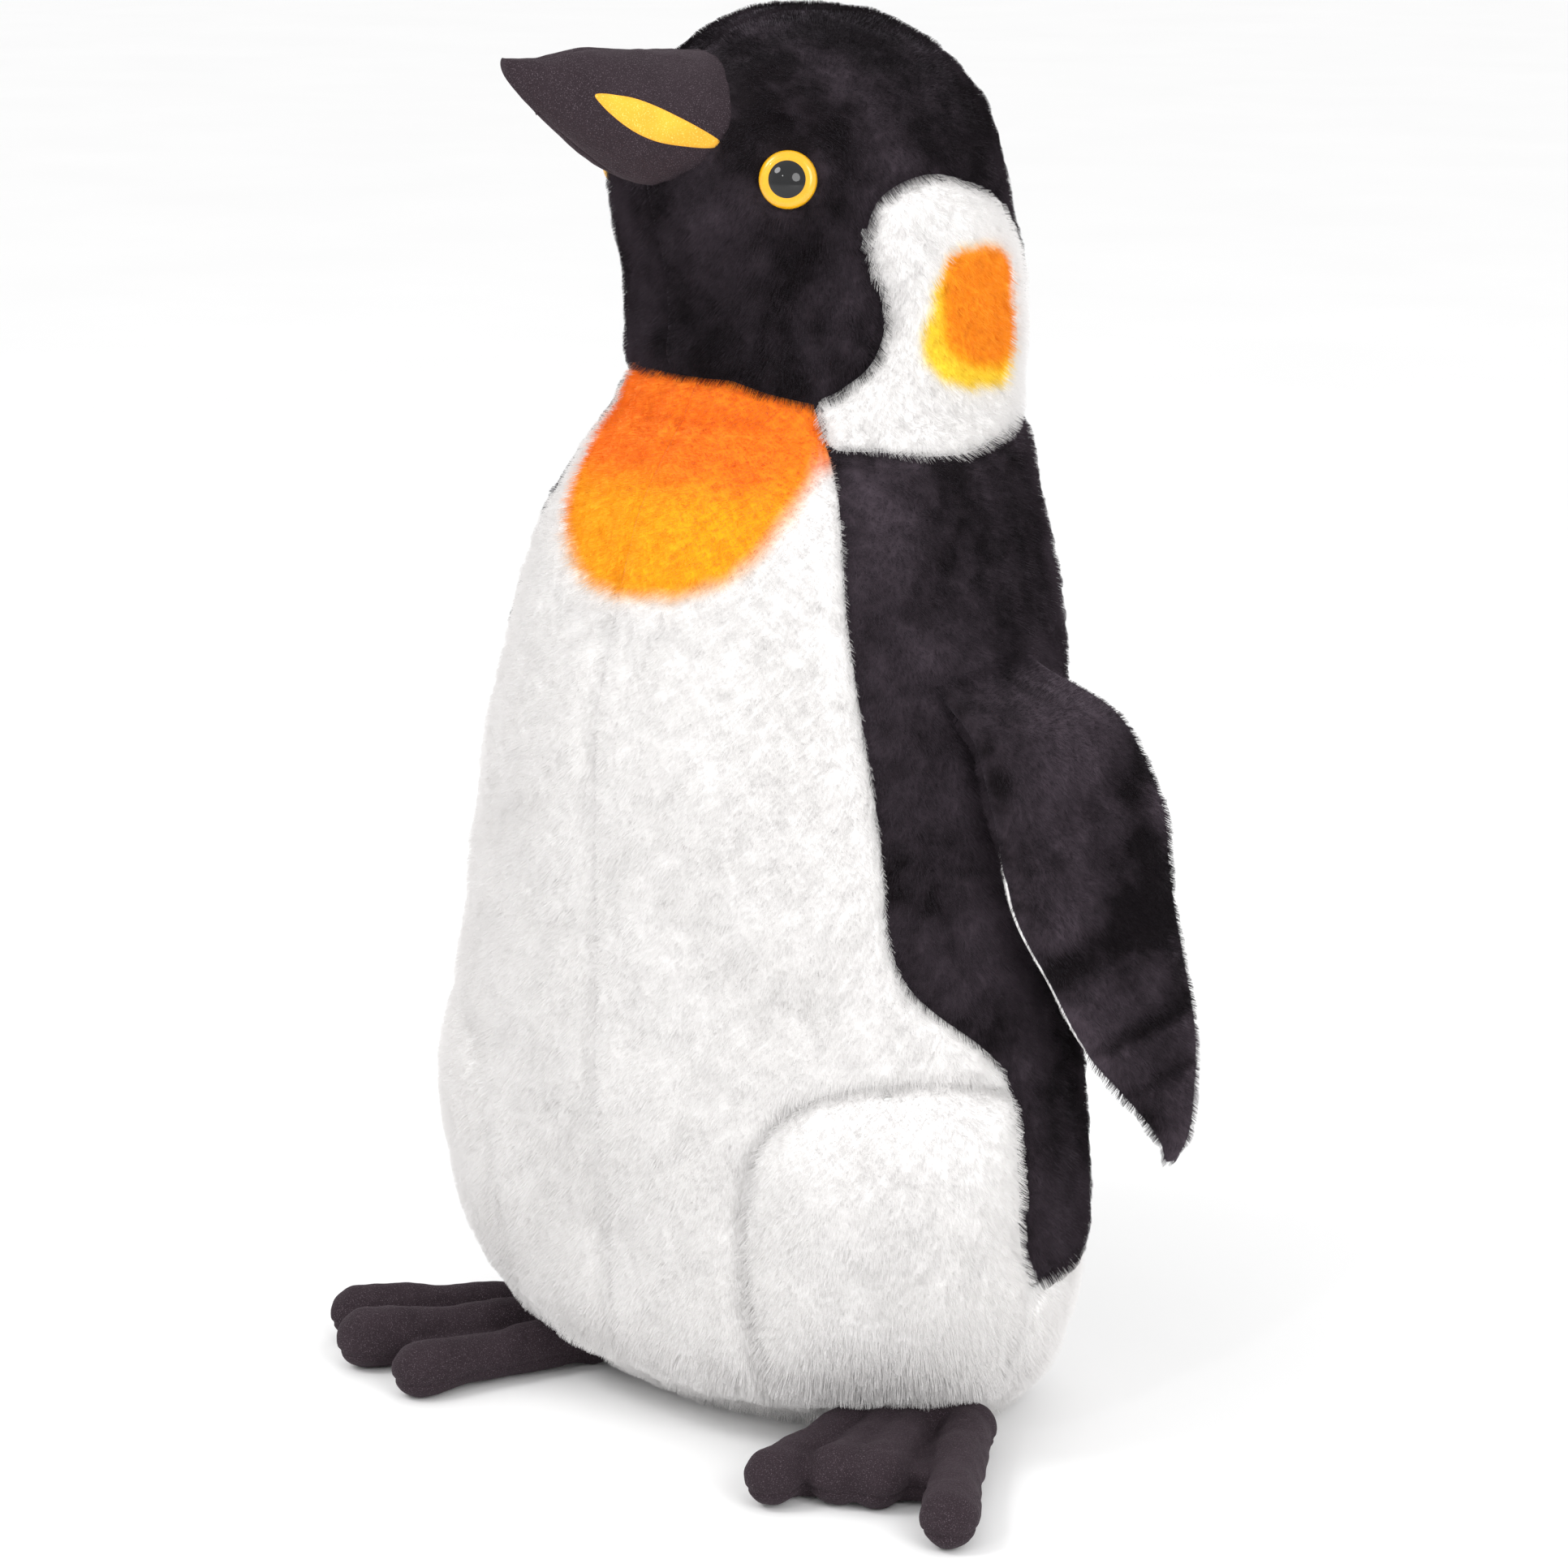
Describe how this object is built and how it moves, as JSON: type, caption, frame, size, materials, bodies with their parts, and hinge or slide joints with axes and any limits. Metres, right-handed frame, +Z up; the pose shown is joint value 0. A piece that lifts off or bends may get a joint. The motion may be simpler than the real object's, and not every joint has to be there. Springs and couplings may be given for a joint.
{
  "type": "plush penguin",
  "caption": "Standing plush penguin with a turned head, suede beak with bright side stripes, safety eyes, splayed flippers, padded thighs and webbed suede feet.",
  "frame": {"origin": "on the floor, in the middle of the flat base between the feet and the back", "axes": "+Z up, the penguin faces -Y, its own left side is +X"},
  "size_m": [0.4165, 0.2603, 0.609],
  "materials": {
    "black_plush": "short-pile plush, soft sheen",
    "white_plush": "medium-pile plush, with an airbrushed orange bib and ear patch",
    "charcoal_suede": "brushed suede cloth",
    "amber_felt": "smooth felted cloth",
    "fibre_filling": "loose polyester fibre",
    "pellet_cotton": "plain cotton bag of plastic pellets",
    "eye_yellow": "polished",
    "eye_black": "polished clear-coated dome",
    "washer_plastic": "moulded"
  },
  "bodies": {
    "torso": {"bottom_panel": "white_plush", "torso_stuffing": "fibre_filling", "ballast_bag": "pellet_cotton", "belly_panel_left": "white_plush", "back_panel_left": "black_plush", "thigh_panel_left": "white_plush", "thigh_stuffing_left": "fibre_filling", "belly_panel_right": "white_plush", "back_panel_right": "black_plush", "thigh_panel_right": "white_plush", "thigh_stuffing_right": "fibre_filling"},
    "head": {"head_stuffing": "fibre_filling", "beak_stuffing": "fibre_filling", "head_panel_left": "black_plush", "cheek_patch_left": "white_plush", "beak_panel_left": "charcoal_suede", "beak_stripe_left": "amber_felt", "eye_cup_left": "eye_yellow", "eye_pupil_left": "eye_black", "eye_washer_left": "washer_plastic", "head_panel_right": "black_plush", "cheek_patch_right": "white_plush", "beak_panel_right": "charcoal_suede", "beak_stripe_right": "amber_felt", "eye_cup_right": "eye_yellow", "eye_pupil_right": "eye_black", "eye_washer_right": "washer_plastic"},
    "flipper_left": {"flipper_outer_left": "black_plush", "flipper_lining_left": "white_plush", "flipper_stuffing_left": "fibre_filling"},
    "foot_left": {"foot_upper_left": "charcoal_suede", "foot_sole_left": "charcoal_suede", "foot_stuffing_left": "fibre_filling"},
    "flipper_right": {"flipper_outer_right": "black_plush", "flipper_lining_right": "white_plush", "flipper_stuffing_right": "fibre_filling"},
    "foot_right": {"foot_upper_right": "charcoal_suede", "foot_sole_right": "charcoal_suede", "foot_stuffing_right": "fibre_filling"}
  },
  "joints": [
    {"name": "head_turn", "type": "hinge", "parent": "torso", "child": "head", "pos_m": [0, 0.03, 0.44], "axis": [0, 0, 1], "range_deg": [-12, 38], "stiffness_Nm_per_rad": 4},
    {"name": "flipper_left_lift", "type": "hinge", "parent": "torso", "child": "flipper_left", "pos_m": [0.139, 0.005, 0.342], "axis": [-0.1392, -0.9903, 0], "range_deg": [0, 80], "stiffness_Nm_per_rad": 1.2},
    {"name": "flipper_right_lift", "type": "hinge", "parent": "torso", "child": "flipper_right", "pos_m": [-0.139, 0.024, 0.342], "axis": [-0.1392, 0.9903, 0], "range_deg": [0, 80], "stiffness_Nm_per_rad": 1.2},
    {"name": "foot_left_flex", "type": "hinge", "parent": "torso", "child": "foot_left", "pos_m": [0.113, -0.0335, 0.0125], "axis": [-0.7986, -0.6018, 0], "range_deg": [-25, 5], "stiffness_Nm_per_rad": 1},
    {"name": "foot_right_flex", "type": "hinge", "parent": "torso", "child": "foot_right", "pos_m": [-0.087, -0.0335, 0.0125], "axis": [-0.7986, 0.6018, 0], "range_deg": [-25, 5], "stiffness_Nm_per_rad": 1}
  ]
}
